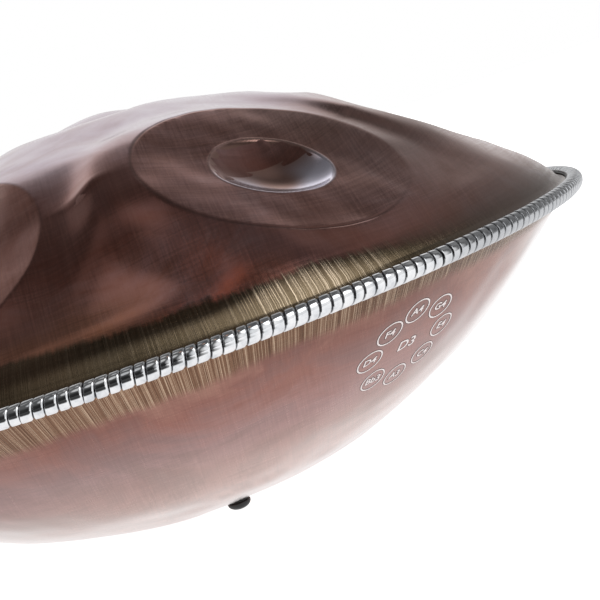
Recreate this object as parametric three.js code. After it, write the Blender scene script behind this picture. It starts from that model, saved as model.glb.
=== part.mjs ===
// Handpan: two shallow steel shells bonded at a rim, spiral-wound rim trim, four rubber feet.
// Millimetres, +Z up, origin on the ground below the centre, crown of the upper shell at the top.
import * as THREE from 'three';

// ---- driving dimensions ----
const RIM_RADIUS = 265;        // outermost radius, measured over the trim
const RIM_HEIGHT = 113.1;      // height of the rim plane above the ground
const SECTORS = 72;            // facets around every rim ring
const GAP = 0.3;               // clearance left between neighbouring pieces

const SHELL_THICK = 1.0;       // steel sheet
const FLANGE_RADIUS = 260.5;   // outer edge of both flanges
const BOND_HALF = 0.25;        // half the thickness of the adhesive ring
const BOND_INNER_RADIUS = 256.6;
const BOND_OUTER_RADIUS = 260;
const FLANGE_LOW = BOND_HALF + GAP;          // flange face nearest the rim plane
const FLANGE_HIGH = FLANGE_LOW + SHELL_THICK;

const TRIM_TUBE = 4.8;         // outer radius of the trim's round section
const TRIM_WALL = 0.8;
const TRIM_CENTRE = RIM_RADIUS - TRIM_TUBE;
const TRIM_JOINT_ANGLE = -60;  // degrees, where the two ends of the trim meet
const TRIM_JOINT_GAP = 0.4;
const TRIM_OUTER_STEPS = 9;    // facets round the outside of the section
const TRIM_INNER_STEPS = 6;

const LINER_INNER_RADIUS = 255.8;
const LINER_WALL = 0.9;
const LINER_LOW = FLANGE_HIGH + GAP;
const LINER_HIGH = LINER_LOW + LINER_WALL;

// Upper shell meridian between the fields: radius and slope angle in degrees.
const CROWN_SLOPES = [
  [0, 0], [40, -1.5], [62, 15.5], [90, 16], [120, 14.5], [145, 17],
  [160, 20], [164, 42], [200, 42.5], [232, 38.2], [250, 55],
];
const DOME_EDGE = 250;         // where the dome runs into the rim bend
const DOME_EDGE_HEIGHT = 6.4;  // height of that edge above the rim plane
const EDGE_DROP = 1.7;         // upright thickness of the sheet at the dome's edge
const RIM_BEND = [[251.5, 4.3], [252.9, 2.9], [254.4, 1.85], [256.6, FLANGE_HIGH]];
const RIM_BEND_UNDER = [[254.4, FLANGE_LOW], [252.5, 1.7], [251.2, 2.9]];

const DING_RADIUS = 31;        // raised bump at the crown
const DING_HEIGHT = 4.6;

// Tone fields: round flats laid on the dome, each with a round dimple in its middle.
// Radii lie in the flat's own plane; centre is the distance from the axis, height is above the rim,
// lean is the fall round the axis in degrees.
const LARGE_FIELD = { radius: 68.4, centre: 173, height: 65, lean: 5, dimple: 30.7 };
const MIDDLE_FIELD = { radius: 56, centre: 173, height: 65.4, lean: 2.5, dimple: 27 };
const SMALL_FIELD = { radius: 52, centre: 175, height: 65, lean: 5, dimple: 24 };
const FIELDS = [
  { angle: -62.8, ...LARGE_FIELD },
  { angle: -126, ...LARGE_FIELD },
  { angle: -10.3, ...MIDDLE_FIELD },
  { angle: 34, ...SMALL_FIELD },
  { angle: 72, ...SMALL_FIELD },
  { angle: 115, ...SMALL_FIELD },
  { angle: 154, ...SMALL_FIELD },
  { angle: 192, ...SMALL_FIELD },
];
const FIELD_SLOPE = 34;        // degrees, each flat's fall away from the axis
const FIELD_DISH = 1.5;        // how far the middle of a flat lies below its edge
const FIELD_REACH = 1.7;       // the dome runs up to a flat's edge within this many flat radii
const DIMPLE_DEPTH = 0.28;     // depth over radius

// Lower shell: superellipse bowl, flattened near the port.
const BOWL_RADIUS = 255.5;
const BOWL_DEPTH = 117.4;
const BOWL_POWER_R = 2.144;
const BOWL_POWER_Z = 1.0568;
const BOWL_RINGS = [92, 114, 136, 158, 180, 200, 218, 233, 244, 251];
const BOWL_BEND = [[253.4, -2.9], [255.2, -FLANGE_HIGH]];
const BOWL_BEND_INSIDE = [[254.6, -FLANGE_LOW], [252.7, -2.2]];
const FLAT_RADII = [74, 83];
const FLAT_BLEND_START = 92;
const FLAT_BLEND_END = 74;
const PORT_RADIUS = 50;        // clear radius of the port's neck
const PORT_NECK = 30;          // how far the neck reaches up inside
const PORT_ROUND = 9;          // outside rounding from the bowl into the neck
const PORT_ROUND_STEPS = 3;

const FOOT_CIRCLE = 75;        // radius of the circle the feet stand on
const FOOT_ANGLES = [-83, 7, 97, 187];
const FOOT_RADIUS = 6.7;
const FOOT_FLAT = 2.4;         // radius of the flat resting face
const FOOT_BEVEL = 0.7;
const FOOT_STEPS = 4;
const FOOT_SECTORS = 16;
const PAD_THICK = 0.6;
const PAD_RADIUS = 5.7;

// ---- materials ----
function steel(color, roughness) {
  return new THREE.MeshStandardMaterial({ color, roughness, metalness: 1 });
}

function soft(color, roughness) {
  return new THREE.MeshStandardMaterial({ color, roughness, metalness: 0 });
}

const rad = THREE.MathUtils.degToRad;
const part = new THREE.Group();
part.name = 'handpan';

function addPiece(name, geometry, material) {
  const mesh = new THREE.Mesh(geometry, material);
  mesh.name = name;
  part.add(mesh);
}

// Solid of revolution standing on +Z; its [radius, height] outline starts and ends on the axis.
function revolveOnAxis(outline, sectors) {
  const points = outline.map(([r, z]) => new THREE.Vector2(r, z));
  const geometry = new THREE.LatheGeometry(points, sectors);
  geometry.rotateX(Math.PI / 2);
  return geometry;
}

// Ring of revolution from an outline that stays clear of the axis and is closed here.
function revolve(outline, sectors) {
  return revolveOnAxis([...outline, outline[0]], sectors);
}

function meshFrom(positions, triangles) {
  const geometry = new THREE.BufferGeometry();
  geometry.setAttribute('position', new THREE.Float32BufferAttribute(positions, 3));
  geometry.setIndex(triangles);
  geometry.computeVertexNormals();
  return geometry;
}

// ---- upper shell surface ----
function crownHeight(radius) {
  let height = DOME_EDGE_HEIGHT;
  const r = Math.min(radius, DOME_EDGE);
  for (let k = CROWN_SLOPES.length - 1; k > 0; k -= 1) {
    const [r0, s0] = CROWN_SLOPES[k - 1];
    const [r1, s1] = CROWN_SLOPES[k];
    if (r < r1) {
      const from = Math.max(r, r0);
      const steepness = (at) => Math.tan(rad(s0 + ((s1 - s0) * (at - r0)) / (r1 - r0)));
      const average = (steepness(from) + 4 * steepness((from + r1) / 2) + steepness(r1)) / 6;
      height += average * (r1 - from);
    }
  }
  return height;
}

const slopeAlong = Math.tan(rad(FIELD_SLOPE));
const shorten = Math.cos(rad(FIELD_SLOPE));

function flatHeight(field, along, across, reach) {
  const fall = slopeAlong * along + Math.tan(rad(field.lean)) * across;
  return field.height - fall - FIELD_DISH * (1 - reach * reach);
}

// Height over the rim plane: inside a field its flat and dimple, outside it the dome,
// drawn up or down to meet the edges of the flats around it.
function crownSurface(x, y) {
  const radius = Math.hypot(x, y);
  let lift = 0;
  let share = 1;
  for (const field of FIELDS) {
    const cos = Math.cos(rad(field.angle));
    const sin = Math.sin(rad(field.angle));
    const along = x * cos + y * sin - field.centre;
    const across = y * cos - x * sin;
    const reach = Math.hypot(across, along / shorten) / field.radius;
    if (reach <= 1) {
      const dimple = Math.min((reach * field.radius) / field.dimple, 1);
      const depth = DIMPLE_DEPTH * field.dimple * (1 - dimple * dimple);
      return flatHeight(field, along, across, reach) - depth;
    }
    if (reach < FIELD_REACH) {
      const edgeAlong = along / reach;
      const edgeAcross = across / reach;
      const edgeRadius = Math.hypot(edgeAlong + field.centre, edgeAcross);
      const step = flatHeight(field, edgeAlong, edgeAcross, 1) - crownHeight(edgeRadius);
      const away = Math.max((reach - 1) / (FIELD_REACH - 1), 1e-4);
      const weight = ((1 - away) / away) ** 2;
      lift += weight * step;
      share += weight;
    }
  }
  const ding = Math.min(radius / DING_RADIUS, 1);
  return crownHeight(radius) + DING_HEIGHT * (1 - ding * ding) ** 1.3 + lift / share;
}

function crownNormal(x, y) {
  const h = 0.5;
  const dx = crownSurface(x + h, y) - crownSurface(x - h, y);
  const dy = crownSurface(x, y + h) - crownSurface(x, y - h);
  return new THREE.Vector3(-dx, -dy, 2 * h).normalize();
}

// ---- upper shell mesh: a polar lattice refined only where the surface bends ----
const CELL = 32;
const CELLS_AROUND = SECTORS / 8;
const CELLS_OUT = 3;
const AROUND = CELL * CELLS_AROUND;
const OUT = CELL * CELLS_OUT;
const EDGE_STEP = AROUND / SECTORS;
const TOLERANCE = 0.9;
const FINEST = 2;

const latticeKey = (i, j) => (j === 0 ? 0 : j * AROUND + (((i % AROUND) + AROUND) % AROUND));

function latticePoint(i, j) {
  const angle = (2 * Math.PI * i) / AROUND;
  const radius = (DOME_EDGE * j) / OUT;
  const x = radius * Math.cos(angle);
  const y = radius * Math.sin(angle);
  return new THREE.Vector3(x, y, crownSurface(x, y));
}

function rootTriangles() {
  const roots = [];
  for (let c = 0; c < CELLS_AROUND; c += 1) {
    for (let d = 0; d < CELLS_OUT; d += 1) {
      const i0 = c * CELL;
      const i1 = i0 + CELL;
      const j0 = d * CELL;
      const j1 = j0 + CELL;
      if (d % 2 === 0) {
        roots.push([[i0, j0], [i1, j1], [i1, j0]], [[i1, j1], [i0, j0], [i0, j1]]);
      } else {
        roots.push([[i1, j0], [i0, j1], [i1, j1]], [[i0, j1], [i1, j0], [i0, j0]]);
      }
    }
  }
  return roots;
}

// A triangle is [a, b, apex]; it is split at the middle of its long side a-b.
function middle([a, b]) {
  return [(a[0] + b[0]) / 2, (a[1] + b[1]) / 2];
}

function isSplittable([a, b]) {
  const span = Math.max(Math.abs(a[0] - b[0]), Math.abs(a[1] - b[1]));
  return span >= FINEST;
}

function needsSplit([a, b], m) {
  const nearEdge = m[1] > OUT - EDGE_STEP * 2;
  if (m[1] === OUT) return m[0] % EDGE_STEP === 0;
  if (nearEdge) return false;
  const flat = latticePoint(...a).add(latticePoint(...b)).multiplyScalar(0.5);
  const true3d = latticePoint(...m);
  const normal = crownNormal(true3d.x, true3d.y);
  return Math.abs(flat.sub(true3d).dot(normal)) > TOLERANCE;
}

const active = new Set();
function markActive(triangle) {
  if (!isSplittable(triangle)) return false;
  const [a, b, apex] = triangle;
  const m = middle(triangle);
  const first = markActive([apex, a, m]);
  const second = markActive([b, apex, m]);
  const key = latticeKey(...m);
  if (first || second || active.has(key) || needsSplit(triangle, m)) active.add(key);
  return active.has(key);
}

function collect(triangle, out) {
  const [a, b, apex] = triangle;
  const m = middle(triangle);
  if (isSplittable(triangle) && active.has(latticeKey(...m))) {
    collect([apex, a, m], out);
    collect([b, apex, m], out);
  } else {
    out.push(triangle);
  }
}

function upperShellGeometry() {
  const roots = rootTriangles();
  let before = -1;
  while (active.size !== before) {
    before = active.size;
    roots.forEach(markActive);
  }
  const triangles = [];
  roots.forEach((root) => collect(root, triangles));

  const positions = [];
  const top = new Map();
  const under = new Map();
  const put = (v) => {
    positions.push(v.x, v.y, v.z);
    return positions.length / 3 - 1;
  };
  const corner = ([i, j]) => {
    const key = latticeKey(i, j);
    if (!top.has(key)) {
      const p = latticePoint(i, j);
      top.set(key, put(p));
      const inward = crownNormal(p.x, p.y).multiplyScalar(-SHELL_THICK);
      if (j === OUT) inward.set(0, 0, -EDGE_DROP);
      under.set(key, put(p.clone().add(inward)));
    }
    return key;
  };
  const index = [];
  const area = (a, b, c) => (b[0] - a[0]) * (c[1] - a[1]) - (b[1] - a[1]) * (c[0] - a[0]);
  for (const [a, b, c] of triangles) {
    const [p, q, r] = area(a, b, c) < 0 ? [a, b, c] : [a, c, b];
    const [kp, kq, kr] = [corner(p), corner(q), corner(r)];
    if (kp !== kq && kq !== kr && kr !== kp) {
      index.push(top.get(kp), top.get(kq), top.get(kr));
      index.push(under.get(kp), under.get(kr), under.get(kq));
    }
  }

  // rim bend and flange, ring by ring from the dome's top face round to its underside
  const rings = [
    ...RIM_BEND,
    [FLANGE_RADIUS, FLANGE_HIGH],
    [FLANGE_RADIUS, FLANGE_LOW],
    ...RIM_BEND_UNDER,
  ];
  const edgeKeys = [];
  for (let s = 0; s < SECTORS; s += 1) edgeKeys.push(latticeKey(s * EDGE_STEP, OUT));
  let previous = edgeKeys.map((key) => top.get(key));
  const bridge = (from, to) => {
    for (let s = 0; s < SECTORS; s += 1) {
      const n = (s + 1) % SECTORS;
      index.push(from[s], to[s], to[n], from[s], to[n], from[n]);
    }
  };
  for (const [radius, height] of rings) {
    const ring = edgeKeys.map((_, s) => {
      const angle = (2 * Math.PI * s) / SECTORS;
      return put(new THREE.Vector3(radius * Math.cos(angle), radius * Math.sin(angle), height));
    });
    bridge(previous, ring);
    previous = ring;
  }
  bridge(previous, edgeKeys.map((key) => under.get(key)));

  const geometry = meshFrom(positions, index);
  geometry.translate(0, 0, RIM_HEIGHT);
  return geometry;
}

// ---- lower shell ----
function bowlDepth(radius) {
  const inward = 1 - (radius / BOWL_RADIUS) ** BOWL_POWER_R;
  return BOWL_DEPTH * Math.max(inward, 0) ** (1 / BOWL_POWER_Z);
}

function bowlSlope(radius) {
  return bowlDepth(radius - 0.5) - bowlDepth(radius + 0.5);
}

function bowlOutside(radius) {
  if (radius >= FLAT_BLEND_START) return -bowlDepth(radius);
  const start = bowlSlope(FLAT_BLEND_START);
  const width = FLAT_BLEND_START - FLAT_BLEND_END;
  const t = Math.min((FLAT_BLEND_START - radius) / width, 1);
  return -bowlDepth(FLAT_BLEND_START) - start * width * (t - (t * t) / 2);
}

const BOWL_BOTTOM = bowlOutside(FLAT_BLEND_END);

function lowerShellGeometry() {
  const outside = [];
  const lip = PORT_RADIUS + SHELL_THICK;
  outside.push([PORT_RADIUS, BOWL_BOTTOM + PORT_NECK]);
  for (let k = 0; k <= PORT_ROUND_STEPS; k += 1) {
    const a = (k / PORT_ROUND_STEPS) * (Math.PI / 2);
    const radius = PORT_RADIUS + PORT_ROUND * (1 - Math.cos(a));
    outside.push([radius, BOWL_BOTTOM + PORT_ROUND * (1 - Math.sin(a))]);
  }
  const radii = [...FLAT_RADII, ...BOWL_RINGS];
  for (const radius of radii) outside.push([radius, bowlOutside(radius)]);
  outside.push(...BOWL_BEND, [FLANGE_RADIUS, -FLANGE_HIGH]);

  const inside = [[FLANGE_RADIUS, -FLANGE_LOW], ...BOWL_BEND_INSIDE];
  for (const radius of radii.reverse()) {
    const slope = bowlOutside(radius + 0.5) - bowlOutside(radius - 0.5);
    const shift = SHELL_THICK / Math.hypot(1, slope);
    inside.push([radius - slope * shift, bowlOutside(radius) + shift]);
  }
  const small = PORT_ROUND - SHELL_THICK;
  for (let k = PORT_ROUND_STEPS; k >= 0; k -= 1) {
    const a = (k / PORT_ROUND_STEPS) * (Math.PI / 2);
    const radius = lip + small * (1 - Math.cos(a));
    inside.push([radius, BOWL_BOTTOM + SHELL_THICK + small * (1 - Math.sin(a))]);
  }
  inside.push([lip, BOWL_BOTTOM + PORT_NECK]);

  const outline = [...outside, ...inside].map(([r, z]) => [r, z + RIM_HEIGHT]);
  return revolve(outline, SECTORS);
}

// ---- rim: adhesive ring, rubber edging, spiral-wound trim ----
function bondGeometry() {
  const low = RIM_HEIGHT - BOND_HALF;
  const high = RIM_HEIGHT + BOND_HALF;
  const outline = [
    [BOND_INNER_RADIUS, low], [BOND_OUTER_RADIUS, low],
    [BOND_OUTER_RADIUS, high], [BOND_INNER_RADIUS, high],
  ];
  return revolve(outline, SECTORS);
}

function linerGeometry() {
  const web = FLANGE_RADIUS + GAP;
  const back = web + LINER_WALL;
  const outline = [
    [LINER_INNER_RADIUS, -LINER_HIGH], [back, -LINER_HIGH], [back, LINER_HIGH],
    [LINER_INNER_RADIUS, LINER_HIGH], [LINER_INNER_RADIUS, LINER_LOW], [web, LINER_LOW],
    [web, -LINER_LOW], [LINER_INNER_RADIUS, -LINER_LOW],
  ];
  return revolve(outline.map(([r, z]) => [r, z + RIM_HEIGHT]), SECTORS);
}

// C-shaped section, open towards the axis, swept nearly all the way round.
function trimGeometry() {
  const mouth = LINER_HIGH + GAP;
  const inner = TRIM_TUBE - TRIM_WALL;
  const section = [];
  const outerEnd = Math.PI - Math.asin(mouth / TRIM_TUBE);
  const innerEnd = Math.PI - Math.asin(mouth / inner);
  for (let k = 0; k <= TRIM_OUTER_STEPS; k += 1) {
    const a = -outerEnd + (2 * outerEnd * k) / TRIM_OUTER_STEPS;
    section.push([TRIM_CENTRE + TRIM_TUBE * Math.cos(a), TRIM_TUBE * Math.sin(a)]);
  }
  for (let k = TRIM_INNER_STEPS; k >= 0; k -= 1) {
    const a = -innerEnd + (2 * innerEnd * k) / TRIM_INNER_STEPS;
    section.push([TRIM_CENTRE + inner * Math.cos(a), inner * Math.sin(a)]);
  }
  const half = TRIM_JOINT_GAP / 2 / TRIM_CENTRE;
  const start = rad(TRIM_JOINT_ANGLE) + half;
  const sweep = 2 * Math.PI - 2 * half;
  const positions = [];
  for (let s = 0; s <= SECTORS; s += 1) {
    const angle = start + (sweep * s) / SECTORS;
    for (const [r, z] of section) {
      positions.push(r * Math.cos(angle), r * Math.sin(angle), z + RIM_HEIGHT);
    }
  }
  const count = section.length;
  const index = [];
  for (let s = 0; s < SECTORS; s += 1) {
    for (let k = 0; k < count; k += 1) {
      const n = (k + 1) % count;
      const a = s * count + k;
      const b = s * count + n;
      index.push(a, a + count, b + count, a, b + count, b);
    }
  }
  const outline = section.map(([r, z]) => new THREE.Vector2(r, z));
  const last = SECTORS * count;
  for (const [a, b, c] of THREE.ShapeUtils.triangulateShape(outline, [])) {
    index.push(a, b, c, last + a, last + c, last + b);
  }
  return meshFrom(positions, index);
}

// ---- feet ----
const FOOT_TOP = RIM_HEIGHT + BOWL_BOTTOM - PAD_THICK - 2 * GAP;

function footGeometry() {
  const dome = FOOT_TOP - FOOT_BEVEL;
  const outline = [[0, FOOT_TOP], [FOOT_RADIUS - FOOT_BEVEL, FOOT_TOP], [FOOT_RADIUS, dome]];
  const flatAngle = Math.asin(FOOT_FLAT / FOOT_RADIUS);
  const scale = dome / Math.cos(flatAngle);
  for (let k = 1; k <= FOOT_STEPS; k += 1) {
    const a = Math.PI / 2 - ((Math.PI / 2 - flatAngle) * k) / FOOT_STEPS;
    outline.push([FOOT_RADIUS * Math.sin(a), dome - scale * Math.cos(a)]);
  }
  outline.push([0, 0]);
  return revolveOnAxis(outline.reverse(), FOOT_SECTORS);
}

function padGeometry() {
  const low = FOOT_TOP + GAP;
  const high = low + PAD_THICK;
  return revolveOnAxis([[0, low], [PAD_RADIUS, low], [PAD_RADIUS, high], [0, high]], FOOT_SECTORS);
}

addPiece('upper_shell', upperShellGeometry(), steel(0x6b4038, 0.35));
addPiece('lower_shell', lowerShellGeometry(), steel(0x8a5548, 0.35));
addPiece('flange_bond', bondGeometry(), soft(0x2a2a2c, 0.7));
addPiece('rim_liner', linerGeometry(), soft(0x18181a, 0.8));
addPiece('rim_trim', trimGeometry(), steel(0xc8ccd0, 0.15));

FOOT_ANGLES.forEach((angle, k) => {
  const x = FOOT_CIRCLE * Math.cos(rad(angle));
  const y = FOOT_CIRCLE * Math.sin(rad(angle));
  addPiece(`foot_${k + 1}`, footGeometry().translate(x, y, 0), soft(0x141414, 0.6));
  addPiece(`foot_pad_${k + 1}`, padGeometry().translate(x, y, 0), soft(0x303030, 0.7));
});

export default part;
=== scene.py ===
"""Looks of the handpan: heat-tinted steel shells, wound rim trim, rubber feet and etched note names."""
import math

import bmesh
import bpy
import numpy as np
from mathutils import Matrix, Vector


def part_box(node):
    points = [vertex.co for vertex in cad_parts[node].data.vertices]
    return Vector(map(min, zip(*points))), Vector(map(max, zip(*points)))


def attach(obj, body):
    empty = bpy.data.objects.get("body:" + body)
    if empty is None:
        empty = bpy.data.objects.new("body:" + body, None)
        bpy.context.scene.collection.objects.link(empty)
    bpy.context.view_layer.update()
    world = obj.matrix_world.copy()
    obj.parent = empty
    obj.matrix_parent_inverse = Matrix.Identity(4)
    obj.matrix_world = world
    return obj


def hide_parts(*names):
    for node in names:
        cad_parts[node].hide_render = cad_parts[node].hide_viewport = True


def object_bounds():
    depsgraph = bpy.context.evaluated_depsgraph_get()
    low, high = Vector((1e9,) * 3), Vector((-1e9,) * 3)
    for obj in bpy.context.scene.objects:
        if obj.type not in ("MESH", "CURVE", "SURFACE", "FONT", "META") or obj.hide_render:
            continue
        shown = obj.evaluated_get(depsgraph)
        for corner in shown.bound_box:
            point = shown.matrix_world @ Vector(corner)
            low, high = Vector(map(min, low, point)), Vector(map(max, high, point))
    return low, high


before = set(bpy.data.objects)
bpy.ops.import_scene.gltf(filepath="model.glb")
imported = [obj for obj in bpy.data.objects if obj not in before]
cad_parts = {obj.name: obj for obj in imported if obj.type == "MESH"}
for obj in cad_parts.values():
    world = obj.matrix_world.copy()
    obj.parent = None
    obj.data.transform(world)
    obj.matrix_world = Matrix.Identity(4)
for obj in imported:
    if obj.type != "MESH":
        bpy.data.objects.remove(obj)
cad_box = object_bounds()

MM = 0.001

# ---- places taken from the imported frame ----
trim_low, trim_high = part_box("rim_trim")
RIM_Z = (trim_low[2] + trim_high[2]) / 2
GROUND = cad_box[0][2]

# ---- sizes in millimetres, as in the solids ----
RIM_RADIUS = 265.0
SHELL_THICK = 1.0
FLANGE_RADIUS = 260.5
FLANGE_LOW = 0.55
FLANGE_HIGH = FLANGE_LOW + SHELL_THICK

# The dome's fall in degrees by radius, from the crown to the rim.
CROWN_SLOPES = [
    (0, 0), (40, -1.5), (62, 15.5), (90, 16), (120, 14.5), (145, 17),
    (160, 20), (164, 42), (200, 42.5), (232, 38.2), (250, 55),
]
DOME_EDGE = 250.0
DOME_EDGE_HEIGHT = 6.4
DING_RADIUS = 31.0
DING_HEIGHT = 4.6
DING_POWER = 1.3

# Tone fields: each flat's radius, its centre's distance from the axis and height over the rim plane,
# its lean to one side in degrees, and its dimple's radius.
LARGE = dict(radius=68.4, centre=173.0, height=65.0, lean=5.0, dimple=30.7)
MIDDLE = dict(radius=56.0, centre=173.0, height=65.4, lean=2.5, dimple=27.0)
SMALL = dict(radius=52.0, centre=175.0, height=65.0, lean=5.0, dimple=24.0)
FIELDS = [
    dict(LARGE, angle=-62.8),
    dict(LARGE, angle=-126.0),
    dict(MIDDLE, angle=-10.3),
    dict(SMALL, angle=34.0),
    dict(SMALL, angle=72.0),
    dict(SMALL, angle=115.0),
    dict(SMALL, angle=154.0),
    dict(SMALL, angle=192.0),
]
FIELD_SLOPE = math.radians(34)
FIELD_DISH = 1.5
FIELD_REACH = 1.7
DIMPLE_DEPTH = 0.28

# Finer than the solids: the steep edge of a dimple, the groove round a flat and the lip round a dimple.
DIMPLE_WALL = 0.25
DIMPLE_WALL_POWER = 10
GROOVE_DEPTH = 0.35
GROOVE_WIDTH = 0.9
LIP_HEIGHT = 0.18
LIP_WIDTH = 0.8

# Hammering left in each shell: the seed, length and height of each set of waves.
CROWN_WAVES = [(3, 60, 0.35), (4, 24, 0.07)]
BOWL_WAVES = [(11, 75, 0.4), (12, 26, 0.07)]

# The bowl: a superellipse in to FLAT_START, levelling out to FLAT_END, and the port's neck inside that.
BOWL_RADIUS = 255.5
BOWL_DEPTH = 117.4
BOWL_POWER_R = 2.144
BOWL_POWER_Z = 1.0568
FLAT_START = 92.0
FLAT_END = 74.0
PORT_RADIUS = 50.0
PORT_NECK = 30.0
PORT_ROUND = 9.0

# The trim: a tube split on its inner side, with its two ends meeting at the joint.
TRIM_TUBE = 4.8
TRIM_BORE = 3.55
TRIM_CENTRE = RIM_RADIUS - TRIM_TUBE
TRIM_MOUTH = 3.05
TRIM_JOINT = math.radians(-60)

FEET = 4
FOOT_FLAT = 2.4
FOOT_SKIRT = 0.7


# ---- mesh helpers ----
def smoothstep(low, high, x):
    t = np.clip((x - low) / (high - low), 0.0, 1.0)
    return t * t * (3 - 2 * t)


def new_object(name, points, faces, smooth=True):
    mesh = bpy.data.meshes.new(name)
    mesh.from_pydata([tuple(p) for p in np.asarray(points, float)], [], [tuple(f) for f in faces])
    mesh.polygons.foreach_set("use_smooth", [smooth] * len(mesh.polygons))
    mesh.update()
    obj = bpy.data.objects.new(name, mesh)
    bpy.context.scene.collection.objects.link(obj)
    return obj


def grid_faces(rows, columns, wrap_rows=False):
    """Quads over a lattice of rows x columns points whose columns close into a ring."""
    last_row = rows if wrap_rows else rows - 1
    i, j = np.meshgrid(np.arange(last_row), np.arange(columns), indexing="ij")
    n, m = (i + 1) % rows, (j + 1) % columns
    quad = np.stack([i * columns + j, n * columns + j, n * columns + m, i * columns + m], -1)
    return quad.reshape(-1, 4).tolist()


def attribute(obj, name, values):
    layer = obj.data.attributes.new(name, "FLOAT", "POINT")
    layer.data.foreach_set("value", np.asarray(values, np.float32))


def revolve(name, outline, sectors=360):
    """A ring of revolution from a closed outline of (radius, height above the rim plane) in mm."""
    outline = np.array(outline, float)
    angle = np.linspace(0, 2 * np.pi, sectors, endpoint=False)
    r = outline[:, 0][:, None] * MM
    z = np.repeat(outline[:, 1][:, None] * MM + RIM_Z, sectors, 1)
    points = np.stack([r * np.cos(angle), r * np.sin(angle), z], -1)
    return new_object(name, points.reshape(-1, 3), grid_faces(len(outline), sectors, wrap_rows=True))


def ripple(x, y, seed, length, height, waves=24):
    """Gentle uneven ripple such as hammering leaves: waves of about one length, in all directions."""
    draw = np.random.RandomState(seed)
    total = np.zeros_like(x)
    for _ in range(waves):
        heading = draw.uniform(0, 2 * np.pi)
        k = 2 * np.pi / (length * draw.uniform(0.7, 1.5))
        phase = draw.uniform(0, 2 * np.pi)
        total += np.sin(k * (x * np.cos(heading) + y * np.sin(heading)) + phase)
    return total * height / math.sqrt(waves / 2)


def hammering(x, y, wave_sets):
    """All the sets of waves of one shell together."""
    return sum(ripple(x, y, *wave_set) for wave_set in wave_sets)


# ---- upper shell ----
def dome_profile(steps=1000):
    """Radii and heights of the dome, from its slopes."""
    radius = np.linspace(0, DOME_EDGE, steps + 1)
    slope = np.tan(np.radians(np.interp(radius, *zip(*CROWN_SLOPES))))
    step = radius[1] - radius[0]
    fall = np.concatenate([[0], np.cumsum((slope[1:] + slope[:-1]) / 2 * step)])
    return radius, fall[-1] - fall + DOME_EDGE_HEIGHT


DOME_RADII, DOME_HEIGHTS = dome_profile()


def crown_height(radius):
    return np.interp(radius, DOME_RADII, DOME_HEIGHTS)


def field_place(field, x, y):
    """Distances from a field's centre along the radius and round it, and how many radii out that is."""
    a = math.radians(field["angle"])
    along = x * math.cos(a) + y * math.sin(a) - field["centre"]
    across = y * math.cos(a) - x * math.sin(a)
    reach = np.hypot(across, along / math.cos(FIELD_SLOPE)) / field["radius"]
    return along, across, reach


def flat_height(field, along, across, reach):
    fall = math.tan(FIELD_SLOPE) * along + math.tan(math.radians(field["lean"])) * across
    return field["height"] - fall - FIELD_DISH * (1 - reach * reach)


def crown_surface(x, y):
    """Height in mm over the rim plane: the dome, drawn to meet the flats, and the flats and dimples."""
    radius = np.hypot(x, y)
    ding = DING_HEIGHT * np.clip(1 - (radius / DING_RADIUS) ** 2, 0, None) ** DING_POWER
    dome = crown_height(radius) + ding
    lift = np.zeros_like(dome)
    share = np.ones_like(dome)
    for field in FIELDS:
        along, across, reach = field_place(field, x, y)
        safe = np.maximum(reach, 1e-6)
        edge_radius = np.hypot(along / safe + field["centre"], across / safe)
        step_up = flat_height(field, along / safe, across / safe, 1) - crown_height(edge_radius)
        away = np.clip((reach - 1) / (FIELD_REACH - 1), 1e-4, 1)
        weight = ((1 - away) / away) ** 2
        lift += weight * step_up
        share += weight
    z = dome + lift / share
    for field in FIELDS:
        along, across, reach = field_place(field, x, y)
        dimple = np.minimum(reach * field["radius"] / field["dimple"], 1)
        dish = DIMPLE_DEPTH * field["dimple"] * (1 - dimple ** 2)
        depth = dish + DIMPLE_WALL * (1 - dimple ** DIMPLE_WALL_POWER)
        z = np.where(reach <= 1, flat_height(field, along, across, reach) - depth, z)
    groove, lip = crease_masks(x, y)
    return z - GROOVE_DEPTH * groove + LIP_HEIGHT * lip


def crease_masks(x, y):
    """The fine groove round each flat, fading to one side, and the lip round each dimple, from 0 to 1."""
    groove = np.zeros_like(x)
    lip = np.zeros_like(x)
    for field in FIELDS:
        _, across, reach = field_place(field, x, y)
        out = reach * field["radius"]
        depth = 1 - 0.75 * smoothstep(-0.2, 0.7, across / field["radius"])
        groove = np.maximum(groove, depth * np.exp(-((out - field["radius"]) / GROOVE_WIDTH) ** 2))
        lip = np.maximum(lip, np.exp(-((out - field["dimple"]) / LIP_WIDTH) ** 2))
    return groove, lip


def crown_masks(x, y):
    """How far a place is inside a field's flat, and inside a dimple, from 0 to 1."""
    flat_mask = np.zeros_like(x)
    dimple_mask = np.zeros_like(x)
    for field in FIELDS:
        _, _, reach = field_place(field, x, y)
        out = reach * field["radius"] / field["dimple"]
        flat_mask = np.maximum(flat_mask, 1 - smoothstep(0.985, 1.015, reach))
        dimple_mask = np.maximum(dimple_mask, 1 - smoothstep(0.96, 1.0, out))
    return flat_mask, dimple_mask


def dimple_highlight(x, y):
    """Mask of the painted highlight: 1 in the outer ring of each dimple on the side towards the rim, 0
    elsewhere.
    """
    ring = np.zeros_like(x)
    for field in FIELDS:
        along, _, reach = field_place(field, x, y)
        out = reach * field["radius"] / field["dimple"]
        near = smoothstep(-0.35, 0.25, along / field["dimple"])
        ring = np.maximum(ring, near * smoothstep(0.2, 0.6, out) * (1 - smoothstep(1.0, 1.04, out)))
    return ring


def crown_ripple(x, y):
    fade = 1 - smoothstep(225, 248, np.hypot(x, y))
    _, dimple = crown_masks(x, y)
    return hammering(x, y, CROWN_WAVES) * fade * (1 - dimple * 0.9)


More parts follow.
